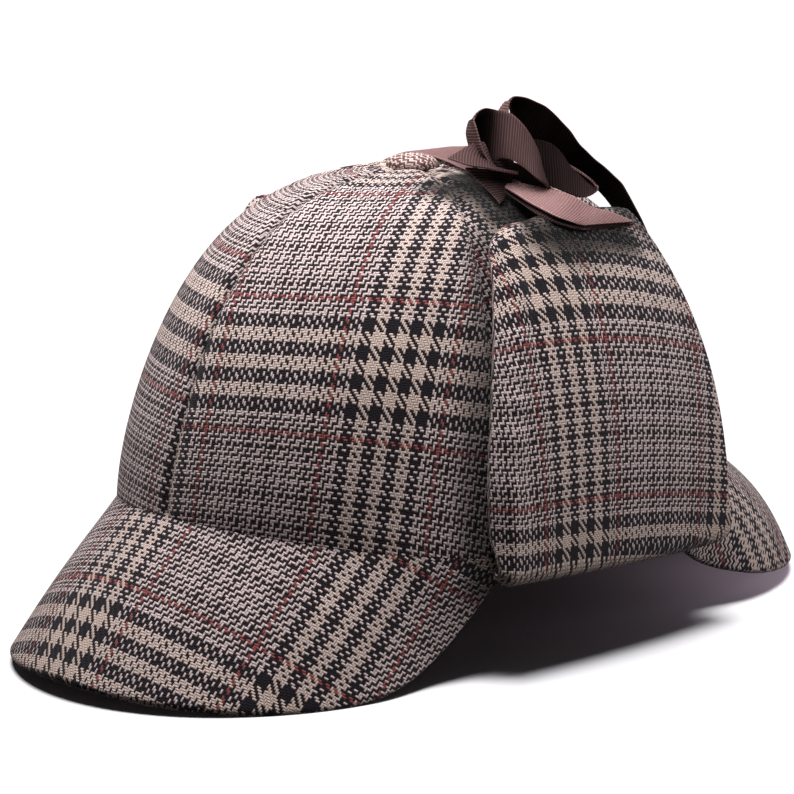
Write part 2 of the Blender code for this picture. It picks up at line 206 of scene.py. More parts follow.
class Look:
    # one material, built node by node
    def __init__(self, name):
        self.material = bpy.data.materials.new(name)
        self.material.use_nodes = True
        self.tree = self.material.node_tree
        self.shader = self.tree.nodes["Principled BSDF"]

    def add(self, kind, settings=None, sockets=None, output=0):
        node = self.tree.nodes.new(kind)
        for key, value in (settings or {}).items():
            setattr(node, key, value)
        for key, value in (sockets or {}).items():
            self.feed(node.inputs[key], value)
        return Value(self, node.outputs[output])

    def feed(self, socket, value):
        if isinstance(value, Value):
            self.tree.links.new(value.socket, socket)
        else:
            socket.default_value = value

    def maths(self, operation, *values):
        return self.add("ShaderNodeMath", {"operation": operation}, dict(enumerate(values)))

    def blend(self, share, low, high):
        # colours are sockets 6 and 7 of the Mix node, and its colour result is output 2
        return self.add("ShaderNodeMix", {"data_type": "RGBA"}, {0: share, 6: low, 7: high}, 2)

    def scaled(self, colour, share):
        return self.add("ShaderNodeVectorMath", {"operation": "SCALE"}, {0: colour, "Scale": share})

    def parts(self, vector):
        split = self.add("ShaderNodeSeparateXYZ", None, {0: vector}).socket.node
        return [Value(self, output) for output in split.outputs]

    def noise(self, place, scale, detail, roughness, output=0):
        sockets = {"Vector": place, "Scale": scale, "Detail": detail, "Roughness": roughness}
        return self.add("ShaderNodeTexNoise", None, sockets, output)

    def bump(self, height, distance, strength):
        sockets = {"Strength": strength, "Distance": distance, "Height": height}
        return self.add("ShaderNodeBump", None, sockets)

    def set(self, **sockets):
        for key, value in sockets.items():
            self.feed(self.shader.inputs[key.replace("_", " ")], value)


tweed = dict(
    repeat=120,             # threads in one repeat of the check, across and upwards
    band=42,                # of them in the bold band
    block=6,                # dark and light in turn there
    # The rest goes light and dark thread by thread, the same from both its ends. It skips a beat
    # at these threads, and the second skip is where the red pair runs.
    skips=(1, 8, 14, 20, 27, 33),
    twillPhase=1,
    wander=0.30,            # how far a yarn strays from its line, in threads
    # how fine each unevenness is: 1 changes from thread to thread
    strayScale=0.9,
    fibreScale=5.5,
    slubScale=0.55,
    patchScale=0.035,
    haze=0.16,              # share of loose light fibres over each yarn
    seamShade=0.55,         # how much the painted shade darkens where the cloth attribute says 1
    light=(0.78, 0.63, 0.655, 1),
    lightWarm=(0.81, 0.61, 0.49, 1),
    dark=(0.0105, 0.0095, 0.0170, 1),
    darkBrown=(0.026, 0.014, 0.0145, 1),
    red=(0.30, 0.040, 0.040, 1),
    roughness=0.95,
    sheen=0.10,
    bump=0.00022,
)
# The button's cloth is a paler copy of the tweed: painted light, as washed out by a bright lamp on its top.
buttonTweed = dict(tweed, light=(0.84, 0.63, 0.60, 1), lightWarm=(0.84, 0.60, 0.52, 1),
                   dark=(0.150, 0.072, 0.064, 1), darkBrown=(0.190, 0.095, 0.082, 1))
grosgrain = dict(
    base=(0.27, 0.150, 0.148, 1),
    pale=(0.37, 0.215, 0.212, 1),
    warps=46,               # fine warps across the ribbon
    selvage=0.032,          # share of the width
    roughness=0.80,
    sheen=0.02,
    sheenTint=(0.90, 0.66, 0.66, 1),
    bump=0.00010,
)


def tweedLook(name, tweed):
    # The mesh attribute "cloth" counts threads: warps across, wefts upwards, then painted shade.
    look = Look(name)
    cloth = look.add("ShaderNodeAttribute", {"attribute_name": "cloth"}, output=1)
    warpPlace, weftPlace, seamShade = look.parts(cloth)
    strayAcross, strayUp = look.parts(look.noise(cloth, tweed["strayScale"], 2.0, 0.6, 1))[:2]
    across = warpPlace + (strayAcross - 0.5) * tweed["wander"]
    upward = weftPlace + (strayUp - 0.5) * tweed["wander"]
    warp, weft = across.floor(), upward.floor()
    # a 2/2 twill: each yarn floats over two others and under two
    warpOnTop = ((warp + weft + tweed["twillPhase"]) % 4) < 2
    warpAlong = (upward + warp + tweed["twillPhase"]) % 4
    weftAlong = ((across + weft + tweed["twillPhase"]) % 4) - 2

    def threadColours(thread):
        place = thread % tweed["repeat"]
        inBand = place < tweed["band"] - 0.5
        bold = (place / tweed["block"] + 0.01).floor() % 2
        middle = (tweed["band"] + tweed["repeat"] - 1) / 2
        fromBand = middle - tweed["band"] - (place - middle).size()
        beat = fromBand + 1
        for skip in tweed["skips"]:
            beat = beat + (fromBand > skip - 0.5)
        fine = beat % 2
        isLight = fine + inBand * (bold - fine)
        isRed = (fromBand - tweed["skips"][1] + 0.5).size() < 0.9
        return isLight, isRed, inBand

    isLight, isRed, inBand = (weftKind + warpOnTop * (warpKind - weftKind)
                              for warpKind, weftKind in zip(threadColours(warp), threadColours(weft)))

    # roundness of the yarn on top: across it, and along its float over two threads
    warpSide = (across - warp) * 2 - 1
    weftSide = (upward - weft) * 2 - 1
    side = weftSide + warpOnTop * (warpSide - weftSide)
    along = weftAlong + warpOnTop * (warpAlong - weftAlong)
    crest = 1 - side * side
    arch = 1 - (along - 1) * (along - 1)
    relief = crest * (0.45 + 0.55 * arch)

    fibres = look.noise(cloth, tweed["fibreScale"], 3.0, 0.7)
    slubs = look.noise(cloth, tweed["slubScale"], 2.0, 0.55)
    patches = look.noise(cloth, tweed["patchScale"], 2.0, 0.5)
    # the bold band is creamier where it is light and bluer where it is dark
    lightYarn = look.blend(slubs * 0.5 + inBand * 0.45, tweed["light"], tweed["lightWarm"])
    darkYarn = look.blend(slubs * (1 - 0.8 * inBand), tweed["dark"], tweed["darkBrown"])
    yarn = look.blend(isLight, darkYarn, lightYarn)
    yarn = look.blend(isRed * 0.92, yarn, tweed["red"])
    yarn = look.blend((fibres - 0.5).size() * tweed["haze"], yarn, tweed["lightWarm"])
    # painted shade: each yarn is darker away from its crest; the fibres and patches add random tone
    shade = (0.45 + 0.60 * relief) * (0.60 + 0.80 * fibres) * (0.86 + 0.28 * patches)
    shade = shade * (1 - tweed["seamShade"] * seamShade)
    bumped = look.bump(relief + 0.35 * fibres, tweed["bump"], 0.9)
    look.set(Base_Color=look.scaled(yarn, shade), Roughness=tweed["roughness"], Normal=bumped,
             Sheen_Weight=tweed["sheen"], Sheen_Roughness=0.5, Specular_IOR_Level=0.1)
    return look.material


def ribbonLook(name):
    # "cloth" counts ribs along the ribbon, runs from 0 to 1 across it, then the painted shade of the folds
    look = Look(name)
    cloth = look.add("ShaderNodeAttribute", {"attribute_name": "cloth"}, output=1)
    ribPlace, acrossPlace, depth = look.parts(cloth)
    rib = (ribPlace % 1 - 0.5).size() * 2                   # 0 on the crest, 1 in the groove
    fine = look.noise(cloth, 6.0, 3.0, 0.65)
    warps = ((acrossPlace * grosgrain["warps"]) % 1 - 0.5).size() * 2
    selvage = (acrossPlace - 0.5).size() > 0.5 - grosgrain["selvage"]
    tone = look.blend(fine, grosgrain["base"], grosgrain["pale"])
    # painted shade: grooves between ribs and warps are darker, more so deep in the folds, and the fold
    # shade darkens the whole side
    shade = (1 - (0.30 + 0.62 * depth) * rib) * (0.75 + 0.5 * fine) * (1 - 0.15 * warps)
    shade = shade * (1 + 0.35 * selvage) * (1 - 0.96 * depth)
    bumped = look.bump((1 - rib * rib) + 0.25 * fine + 0.15 * (1 - warps), grosgrain["bump"], 0.8)
    look.set(Base_Color=look.scaled(tone, shade), Roughness=grosgrain["roughness"], Normal=bumped,
             Sheen_Weight=grosgrain["sheen"], Sheen_Roughness=0.35,
             Sheen_Tint=grosgrain["sheenTint"], Specular_IOR_Level=0.02)
    return look.material


print("materials")
tweedCloth = tweedLook("glenTweed", tweed)
buttonCloth = tweedLook("buttonTweed", buttonTweed)
ribbonCloth = ribbonLook("brownGrosgrain")


def gridFaces(index):
    corners = [index[:-1, :-1], index[:-1, 1:], index[1:, 1:], index[1:, :-1]]
    return np.stack(corners, -1).reshape(-1, 4)


def ringFaces(index):
    # the same for rows that each run round and close
    after = np.roll(index, -1, axis=1)
    return np.stack([index[:-1], after[:-1], after[1:], index[1:]], -1).reshape(-1, 4)


def closedShell(name, outer, inner, outerCloth, innerCloth, look):
    # one closed body between two grids of points; cloth holds the attribute at each point
    rows, columns = outer.shape[:2]
    count = rows * columns
    points = np.concatenate([outer.reshape(-1, 3), inner.reshape(-1, 3)])
    cloth = np.concatenate([outerCloth.reshape(-1, 3), innerCloth.reshape(-1, 3)])
    index = np.arange(count).reshape(rows, columns)
    faces = [gridFaces(index), gridFaces(index)[:, [0, 3, 2, 1]] + count]
    border = np.concatenate([index[0, :-1], index[:-1, -1], index[-1, :0:-1], index[:0:-1, 0]])
    after = np.roll(border, -1)
    faces.append(np.stack([border, border + count, after + count, after], -1))
    return meshPiece(name, points, np.concatenate(faces), cloth, look)


def meshPiece(name, points, faces, cloth, look, sharp=50):
    mesh = bpy.data.meshes.new(name)
    mesh.from_pydata(points.tolist(), [], faces.tolist())
    held = mesh.attributes.new("cloth", "FLOAT_VECTOR", "POINT")
    held.data.foreach_set("vector", cloth.astype(np.float32).ravel())
    mesh.validate()
    mesh.shade_smooth()
    mesh.set_sharp_from_angle(angle=math.radians(sharp))
    mesh.materials.append(look)
    piece = bpy.data.objects.new(name, mesh)
    bpy.context.collection.objects.link(piece)
    turnOutwards(piece)
    return piece


def pointsOf(mesh):
    points = np.empty(len(mesh.vertices) * 3)
    mesh.vertices.foreach_get("co", points)
    return points.reshape(-1, 3)


def turnOutwards(piece):
    # flip a closed body whose faces point in
    mesh = piece.data
    mesh.calc_loop_triangles()
    corners = pointsOf(mesh)
    triangles = np.empty(len(mesh.loop_triangles) * 3, dtype=np.int32)
    mesh.loop_triangles.foreach_get("vertices", triangles)
    a, b, c = (corners[triangles.reshape(-1, 3)[:, k]] for k in range(3))
    if np.einsum("ij,ij->i", a, np.cross(b, c)).sum() < 0:
        mesh.flip_normals()


def gridNormals(grid):
    along = np.gradient(grid, axis=0)
    across = np.gradient(grid, axis=1)
    normal = np.cross(along, across)
    return normal / np.maximum(np.linalg.norm(normal, axis=-1, keepdims=True), 1e-12)


def arcLengths(points):
    # distance walked along the first axis of a line of points
    steps = np.linalg.norm(np.diff(points, axis=0), axis=-1)
    return np.concatenate([np.zeros((1,) + steps.shape[1:]), np.cumsum(steps, axis=0)])


def evenPlaces(count, ends=0.6):
    # places from 0 to 1, closer together towards both ends
    even = np.linspace(0, 1, count)
    return (1 - ends) * even + ends * (0.5 - 0.5 * np.cos(np.pi * even))


def finishPiece(piece, node):
    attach(piece, "root")
    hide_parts(node)


crown = dict(
    halfWidth=0.0825,
    halfLength=0.1095,
    rise=0.1055,            # from the mean height of the lower edge to the apex
    rimHeight=0.0427,
    rimWave=0.0068,         # higher at front and back, lower at the sides
    widthPower=0.615,
    risePower=1.40,
    wall=0.0022,
    apexHole=0.0032,
    seamDepth=0.0010,
    seamReach=0.0016,       # half width of the groove
    ridgeHeight=0.00025,    # the seam allowance under the cloth beside it
    ridgePlace=0.0050,
    pucker=0.00016,
    puckerPitch=0.0085,
    puckerReach=0.0055,     # from the seam
    puckerDrift=0.021,
    dent=0.0006,            # soft unevenness of the whole crown
    dentLength=0.03,
    rimFade=0.012,          # the cloth lies smooth next to the rim and to the apex
    apexFade=0.03,
    leanFrom=57,            # mm up the gore where the check's lean turns
    droopFrom=5,            # mm beside the gore's middle where its droop is least
    tightening=0.0005,      # the wefts lie a little closer towards the top
    # painted shade in the seam grooves
    seamShade=0.8,
    insideThreads=(7, 3, 0),    # how far the check inside is off the one outside
    rows=96,
    columns=64,
)
gores = {
    # piece: first seam, last seam, band centre across (mm), lean, band centre up (mm),
    # droop (1/mm), warp pitch, weft pitch (mm)
    "front_left": (0, 70, 20.2, 0.075, 55.4, 0.0016, 0.6253, 0.7565),
    "side_left": (70, 110, -6.0, 0.0, 60.0, 0.0010, 0.63, 0.7565),
    "back_left": (110, 180, -18.0, -0.05, 52.0, 0.0014, 0.6253, 0.7565),
    "back_right": (180, 250, 16.0, 0.05, 56.0, 0.0014, 0.6253, 0.7565),
    "side_right": (250, 290, 4.0, 0.0, 50.0, 0.0010, 0.63, 0.7565),
    "front_right": (290, 360, -16.0, -0.06, 66.4, 0.0016, 0.6253, 0.84),
}


def crownPoint(azimuth, rise, inset=0.0):
    angle = rise * math.pi / 2
    width = np.maximum(np.cos(angle), 0) ** crown["widthPower"]
    height = np.sin(angle) ** crown["risePower"]
    wave = crown["rimWave"] * np.cos(2 * azimuth) * (1 - rise) * (1 - height)
    return np.stack([
        (crown["halfWidth"] - inset) * width * np.sin(azimuth),
        -(crown["halfLength"] - inset) * width * np.cos(azimuth),
        crown["rimHeight"] + wave + (crown["rise"] - inset) * height,
    ], -1)


def evenRises(azimuth, count):
    # rises from the rim to the hole under the button, evenly spaced along the cloth
    share = 2 * crown["apexHole"] / (crown["halfWidth"] + crown["halfLength"])
    topRise = math.acos(share ** (1 / crown["widthPower"])) / (math.pi / 2)
    fine = topRise * (1 - (1 - np.linspace(0, 1, 1200)) ** 3)
    walked = arcLengths(crownPoint(np.full_like(fine, azimuth), fine))
    return np.interp(np.linspace(0, walked[-1], count), walked, fine), walked[-1]


def unevenness(points):
    # low, wide dents, the same on both sides of a seam
    x, y, z = (points[..., k] / crown["dentLength"] for k in range(3))
    return (np.sin(1.3 * x + 0.7 * y + 0.4) * np.cos(1.1 * z - 0.8 * y)
            + 0.6 * np.sin(2.1 * y - 1.7 * z + 1.3) * np.cos(1.9 * x + 0.5))


def crownPanel(name, firstSeam, lastSeam, acrossCentre, lean, upCentre, droop, warpPitch, weftPitch):
    middle = math.radians((firstSeam + lastSeam) / 2)
    rises, length = evenRises(middle, crown["rows"])
    shares = evenPlaces(crown["columns"])
    azimuths = math.radians(firstSeam) + math.radians(lastSeam - firstSeam) * shares
    turn, rise = np.meshgrid(azimuths, rises)
    smooth = crownPoint(turn, rise)
    walked = arcLengths(smooth.transpose(1, 0, 2)).T
    width = walked[:, -1:]
    half = crown["columns"] // 2
    fromMiddle = walked - walked[:, half - 1:half + 1].mean(1, keepdims=True)
    upward = np.linspace(0, length, crown["rows"])[:, None] + 0 * walked
    normals = gridNormals(smooth)
    if normals[4, half] @ smooth[4, half] < 0:
        normals = -normals
    fromSeam = np.minimum(walked, width - walked)
    groove = np.exp(-(fromSeam / crown["seamReach"]) ** 2)
    ridge = np.exp(-((fromSeam - crown["ridgePlace"]) / (0.4 * crown["ridgePlace"])) ** 2)
    pull = np.exp(-(fromSeam / crown["puckerReach"]) ** 2)
    drift = 3 * np.sin(upward / crown["puckerDrift"])
    puckers = np.sin(2 * math.pi * upward / crown["puckerPitch"] + drift) * pull
    rimFade = np.clip(upward / crown["rimFade"], 0, 1)
    apexFade = np.clip((length - upward) / crown["apexFade"], 0, 1)
    lift = (crown["ridgeHeight"] * ridge + crown["pucker"] * puckers) * rimFade
    lift = lift - crown["seamDepth"] * groove
    lift = lift + crown["dent"] * unevenness(smooth) * rimFade * apexFade
    outer = smooth + normals * lift[..., None]
    inner = crownPoint(turn, rise, crown["wall"])
    across, up = fromMiddle / mm, upward / mm
    warps = (across - lean * (up - crown["leanFrom"]) - acrossCentre) / warpPitch + tweed["band"] / 2
    aside = crown["droopFrom"] * (1 if lean >= 0 else -1)
    height = up + droop * (across + aside) ** 2 - upCentre
    wefts = height / weftPitch + crown["tightening"] * height**2 + tweed["band"] / 2
    cloth = np.stack([warps, wefts, groove * crown["seamShade"]], -1)
    innerCloth = cloth + crown["insideThreads"]
    piece = closedShell("crown_" + name, outer, inner, cloth, innerCloth, tweedCloth)
    finishPiece(piece, "crown_panel_" + name)


print("crown")
for place, row in gores.items():
    crownPanel(place, *row)


visors = {
    "front": dict(
        middle=0.0,
        crowning=0.03,
        # azimuth from the middle in degrees, reach outwards and drop below the rim in mm
        outline=((0, 44.8, 43.2), (15, 41.0, 44.9), (30, 30.8, 45.4),
                 (45, 17.0, 41.8), (57, 3.0, 31.0), (72, 0, 0)),
        bandAcross=-5.3,    # mm along the unrolled cloth
        bandOut=50.6,       # mm out from the crease
        lean=0.064,
        leanEnd=70.0,
        droop=0.00084,
        droopMiddle=-2.0,
        warpPitch=0.635,
        weftPitch=0.777,
    ),
    "rear": dict(
        middle=math.pi,
        crowning=0.10,
        outline=((0, 45.0, 48.6), (15, 42.5, 47.0), (30, 34.0, 41.8),
                 (45, 19.5, 34.0), (57, 3.0, 22.8), (72, 0, 0)),
        bandAcross=-82.5,
        bandOut=51.0,
        lean=-0.38,
        leanEnd=70.0,
        droop=0.0006,
        droopMiddle=0.0,
        warpPitch=0.635,
        weftPitch=0.777,
    ),
}
visorBuild = dict(
    end=70.92,              # degrees
    thickness=0.0036,
    edgeShare=0.35,         # the rounded edge takes no more than this of a shallow stretch
    gap=0.0003,
    tuck=0.0010,
    leanFrom=18,           # mm out from the crease where the check's lean turns
    # painted shade in the crease where the visor meets the crown
    creaseShade=0.7,
    creaseReach=0.0022,
    columns=241,
    topRows=34,
    edgeRows=9,
)


def smoothTable(table, place):
    # the table's other columns at places along its first column; even about the first row
    rows = np.array(table, float)
    keys, last = rows[:, 0], len(rows) - 1
    step = np.clip(np.searchsorted(keys, place) - 1, 0, last - 1)
    span = keys[step + 1] - keys[step]
    share = np.clip((place - keys[step]) / span, 0, 1)[..., None]
    slopes = np.zeros_like(rows[:, 1:])
    for k in range(1, last + 1):
        after = min(k + 1, last)
        slopes[k] = (rows[after, 1:] - rows[k - 1, 1:]) / (keys[after] - keys[k - 1])
    low, high = rows[step, 1:], rows[step + 1, 1:]
    rise, fall = slopes[step] * span[..., None], slopes[step + 1] * span[..., None]
    return ((2 * share**3 - 3 * share**2 + 1) * low + (share**3 - 2 * share**2 + share) * rise
            + (3 * share**2 - 2 * share**3) * high + (share**3 - share**2) * fall)


def unrolledCrease(turns, middle, reach, drop):
    # the line where the visor meets the crown, laid flat: its points and its direction
    azimuth = middle + np.radians(turns)
    rim = crownPoint(azimuth, np.zeros_like(azimuth))
    walked = arcLengths(rim)
    heading = np.unwrap(np.arctan2(*np.gradient(rim[:, :2], axis=0).T[::-1]))
    bend = np.abs(np.gradient(heading) / np.gradient(walked))
    bend = bend * reach / np.hypot(reach, drop)
    half = len(turns) // 2

    def summed(rate):
        steps = (rate[1:] + rate[:-1]) / 2 * np.diff(walked)
        total = np.concatenate([[0], np.cumsum(steps)])
        return total - total[half]

    direction = summed(bend)
    return summed(np.cos(direction)), -summed(np.sin(direction)), direction


def visor(name, shape):
    turns = np.linspace(-visorBuild["end"], visorBuild["end"], visorBuild["columns"])
    reach, drop = (column * mm for column in smoothTable(shape["outline"], np.abs(turns)).T)
    length = np.hypot(reach, drop)
    azimuth = shape["middle"] + np.radians(turns)
    start = crownPoint(azimuth, np.zeros_like(azimuth))
    outwards = np.stack([np.sin(azimuth) / crown["halfWidth"],
                         -np.cos(azimuth) / crown["halfLength"], 0 * azimuth], -1)
    outwards /= np.linalg.norm(outwards, axis=-1, keepdims=True)

    def topSurface(share):
        bulge = shape["crowning"] * np.sin(math.pi * share)
        points = start[None] + outwards[None] * (reach * share + drop * bulge)[..., None]
        points[..., 2] += reach * bulge - drop * share - visorBuild["gap"]
        return points

    half = visorBuild["thickness"] / 2
    edge = np.minimum(half, visorBuild["edgeShare"] * length)
    rows, edgeRows = visorBuild["topRows"], visorBuild["edgeRows"]
    shares = np.linspace(0, 1, rows)[:, None] * (1 - edge / length)[None]
    top = topSurface(shares)
    normals = gridNormals(top)
    if normals[rows // 2, len(turns) // 2, 2] < 0:
        normals = -normals
    down = -normals * visorBuild["thickness"]
    down[0, :, 2] = np.minimum(down[0, :, 2], 0)
    under = top + down
    # the outer edge, a half round between top and underside
    centre = top[-1] + down[-1] / 2
    forward = top[-1] - top[-2]
    forward /= np.linalg.norm(forward, axis=-1, keepdims=True)
    angles = np.linspace(90, -90, edgeRows + 2)[1:-1]
    rolled = np.stack([centre + normals[-1] * half * math.sin(math.radians(a))
                       + forward * edge[:, None] * math.cos(math.radians(a)) for a in angles])
    # the cloth goes on under the crown's edge
    tucked = top[:1] - outwards[None] * visorBuild["tuck"]
    tucked[..., 2] += visorBuild["tuck"]
    section = np.concatenate([tucked, top, rolled, under[::-1]])
    section[..., 2] = np.maximum(section[..., 2], 0.0)      # flat where it rests

    flatX, flatY, direction = unrolledCrease(turns, shape["middle"], reach, drop)
    walked = arcLengths(section)
    x = (flatX + walked * np.sin(direction)) / mm
    y = (flatY + walked * np.cos(direction)) / mm
    fade = np.clip((shape["leanEnd"] - x) / (shape["leanEnd"] - shape["bandAcross"]), 0, 1)
    lean = shape["lean"] * (y - visorBuild["leanFrom"]) * fade
    droop = shape["droop"] * (x - shape["droopMiddle"]) ** 2
    warps = (x - lean - shape["bandAcross"]) / shape["warpPitch"]
    wefts = (shape["bandOut"] - y - droop) / shape["weftPitch"]
    creaseShade = visorBuild["creaseShade"] * np.exp(-(walked / visorBuild["creaseReach"]) ** 2)
    cloth = np.stack([warps + tweed["band"] / 2, wefts + tweed["band"] / 2, creaseShade], -1)

    total, columns = section.shape[:2]
    index = np.arange(total * columns).reshape(total, columns)
    faces = [gridFaces(index)]
    faces.append(np.stack([index[0, 1:], index[0, :-1], index[-1, :-1], index[-1, 1:]], -1))
    pairs = np.arange(total // 2 - 1 + total % 2)
    for column, flip in ((0, 1), (columns - 1, -1)):
        strip = np.stack([index[pairs, column], index[pairs + 1, column],
                          index[total - 2 - pairs, column], index[total - 1 - pairs, column]], -1)
        faces.append(strip[:, ::flip])
    faces = [face for face in np.concatenate(faces) if len(set(face.tolist())) == 4]
    piece = meshPiece(name + "_visor_cloth", section.reshape(-1, 3), np.array(faces),
                      cloth.reshape(-1, 3), tweedCloth)
    finishPiece(piece, name + "_visor")


print("visors")
for side, shape in visors.items():
    visor(side, shape)


flapBuild = dict(
    thickness=0.0062,
    clearance=0.0008,
    top=0.105,
    corner=0.008,
    edge=0.005,             # width over which the edge rolls over
    thinnest=0.16,          # of the thickness, at the very edge
    curlFrom=0.010,         # height over which the edge's curl sets in
    valleyDepth=0.0009,     # a soft valley runs behind the front edge, and the edge is rumpled
    valleyPlace=0.0100,
    valleyReach=0.0026,
    rumple=0.00035,
    rumpleLength=0.012,
    rumpleSlant=0.016,
    rumpleReach=0.010,
    rumpleWander=0.3,
    wanderLength=0.009,
    formFrom=0.012,         # valley and rumples set in above this height
    formFade=0.020,
    footLength=0.0055,
    footStub=0.0010,
    footHalfWidth=0.029,
    footFade=0.0015,
    sagSpan=0.100,
    gap=0.0003,
    columns=90,
    sideRows=100,
    bendRows=8,
    columnCrowding=0.85,    # the mesh is finer towards the edges
    rowCrowding=1.25,
    # height along the side, half width and offset of the middle towards the back, in mm
    outline=((-8, 52.4, 7.6), (0, 54.0, 8.2), (25, 53.6, 9.6),
             (50, 49.4, 11.6), (75, 42.0, 12.5), (105, 30.6, 11.8)),
    # how the check lies, in mm: its wefts slant and bow about a middle, its warps fan out upwards
    checkShift=1.9,
    slantMiddle=6.7,
    slant=0.081,
    slantGrowth=0.00086,
    bow=0.0012,
    bowReach=52,
    fanEdge=-6,
    fanMiddle=50,
    fan=1.01,
    fanGrowth=-0.0022,
    insideThreads=(5, 9, 0),
    # place across in mm and the warp thread there
    warpPlaces=((-80, -85), (-54, -40), (-36.7, -8), (-31.7, 3), (-25, 15), (-18.3, 27), (-11.3, 39),
                (-6, 50), (38.8, 112), (45.4, 123), (54, 135), (62, 147), (80, 182)),
    # height in mm and the weft thread there
    weftPlaces=((-20, -121), (1, -93), (8.2, -81), (15.8, -70), (62.3, -8), (70.2, 3), (79, 15),
                (86.5, 27), (93.2, 39), (112, 75)),
)
flaps = {
    "ear_flap_left": dict(side=1, shift=0.0, lift=0.0045, belly=0.0024, sag=0.0034,
                          baseCurve=2.2, tipCurve=9.0),
    "ear_flap_right": dict(side=-1, shift=-0.0050, lift=0.0012, belly=0.0012, sag=0.0010,
                           baseCurve=4.5, tipCurve=7.4),
}


def sideProfile(height):
    # the crown's side: its points and outward directions at heights along the cloth
    rise = np.linspace(0, 1, 61)
    line = crownPoint(np.full_like(rise, math.pi / 2), rise)
    walked = arcLengths(line)
    step = np.clip(np.searchsorted(walked, height) - 1, 0, len(rise) - 2)
    along = line[step + 1] - line[step]
    along /= np.linalg.norm(along, axis=-1, keepdims=True)
    points = line[step] + along * (height - walked[step])[..., None]
    return points, np.stack([along[..., 2], 0 * height, -along[..., 0]], -1)


def flapMiddle(place, across, hang):
    # a point half way through the flap's thickness, and the outward direction there
    sag = hang["sag"] * np.clip(0.5 + across / flapBuild["sagSpan"], 0, 1)
    share = np.clip(place / flapBuild["top"], 0, 1)
    curve = hang["baseCurve"] + (hang["tipCurve"] - hang["baseCurve"]) * share
    radius = flapBuild["thickness"] / 2
    bend = radius * math.pi / 2
    hollow = curve * across**2 / 2
    raised = hang["lift"] * share**2 + hang["belly"] * np.sin(math.pi * share)
    points, outwards = sideProfile(np.maximum(place, 0))
    points = points + outwards * (flapBuild["clearance"] + radius + raised - hollow)[..., None]
    points[..., 2] -= (flapBuild["gap"] + sag) * (1 - share)

    corner = crownPoint(np.array(math.pi / 2), np.array(0.0))
    turn = np.clip(-place / radius, 0, math.pi / 2)
    under = np.stack([np.cos(turn), 0 * turn, -np.sin(turn)], -1)
    tucked = corner + under * radius
    tucked[..., 0] += flapBuild["clearance"] - hollow + np.minimum(place + bend, 0)
    tucked[..., 2] -= flapBuild["gap"] + sag
    below = (place < 0)[..., None]
    return np.where(below, tucked, points), np.where(below, under, outwards)


def earFlap(name, hang):
    build = flapBuild
    radius = build["thickness"] / 2
    bend = radius * math.pi / 2
    # kind runs from -2 to -1 along the foot, to 0 round the bend, then up the side in metres
    side = build["top"] * (1 - (1 - np.linspace(0, 1, build["sideRows"])) ** build["rowCrowding"])
    roundBend = -np.linspace(1, 1 / build["bendRows"], build["bendRows"])
    kinds = np.concatenate([[-2.0, -1.5], roundBend, side])
    shares = 2 * evenPlaces(build["columns"], build["columnCrowding"]) - 1
    kind, share = np.meshgrid(kinds, shares, indexing="ij")
    lowest = build["outline"][0][0]
    base = np.where(kind < 0, -lowest * np.maximum(kind, -1), kind / mm)
    half, offset = np.moveaxis(smoothTable(build["outline"], base) * mm, -1, 0)
    corner = build["corner"]
    over = np.clip(kind - (build["top"] - corner), 0, corner)
    half = half - (corner - np.sqrt(corner**2 - over**2))
    across = half * share
    tuck = 1 / (1 + np.exp((np.abs(across) - build["footHalfWidth"]) / build["footFade"]))
    foot = build["footStub"] + (build["footLength"] - build["footStub"]) * tuck
    place = np.where(kind >= 0, kind, np.where(kind >= -1, kind * bend, -bend + (kind + 1) * foot))
    points, outwards = flapMiddle(place, across, hang)
    points[..., 1] = across + offset + hang["shift"]
    fromSide = half - np.abs(across)
    fromTip = np.where(kind >= 0, build["top"] - kind, 1.0)
    rolled = 1 - np.clip(np.minimum(fromSide, fromTip) / build["edge"], 0, 1)
    body = radius * np.maximum(np.sqrt(1 - rolled**2), build["thinnest"])
    # the edge curls in until it meets the crown
    curl = (radius + build["clearance"]) * rolled**2 * np.clip(kind / build["curlFrom"], 0, 1)
    front = (across < 0) * np.clip((kind - build["formFrom"]) / build["formFade"], 0, 1)
    fromValley = (fromSide - build["valleyPlace"]) / build["valleyReach"]
    valley = build["valleyDepth"] * np.exp(-fromValley**2)
    wander = build["rumpleWander"] * np.sin(place / build["wanderLength"])
    waves = place / build["rumpleLength"] + fromSide / build["rumpleSlant"] + wander
    rumple = build["rumple"] * np.sin(2 * math.pi * waves)
    rumple = rumple * np.exp(-(fromSide / build["rumpleReach"]) ** 2)
    outer = points + outwards * (body - curl + front * (rumple - valley))[..., None]
    inner = points - outwards * (body + curl)[..., None]
    # threads keep their width round the rolled edge
    middle = build["columns"] // 2
    walked = np.moveaxis(arcLengths(np.moveaxis(outer, 1, 0)), 0, 1)
    walked = (walked - walked[:, middle:middle + 1]) + across[:, middle:middle + 1]
    spread = np.where(across < 0, np.minimum(walked, across), across) / mm + build["checkShift"]
    up = np.maximum(place, 0) / mm
    aside = spread - build["slantMiddle"]
    slant = build["slant"] + build["slantGrowth"] * up
    bow = build["bow"] * np.clip(aside, -build["bowReach"], build["bowReach"]) ** 2
    height = place / mm + slant * aside + bow
    fan = build["fan"] + build["fanGrowth"] * (up - build["fanMiddle"])
    fanned = (spread - build["fanEdge"]) * fan + build["fanEdge"]
    spread = np.where(spread > build["fanEdge"], fanned, spread)
    warps = np.interp(spread, *np.array(build["warpPlaces"]).T)
    wefts = np.interp(height, *np.array(build["weftPlaces"]).T)
    cloth = np.stack([warps, wefts, 0 * warps], -1)
    for grid in (outer, inner):
        grid[..., 0] *= hang["side"]
    innerCloth = cloth + build["insideThreads"]
    piece = closedShell(name + "_cloth", outer, inner, cloth, innerCloth, tweedCloth)
    finishPiece(piece, name)


print("ear flaps")
for name, hang in flaps.items():
    earFlap(name, hang)


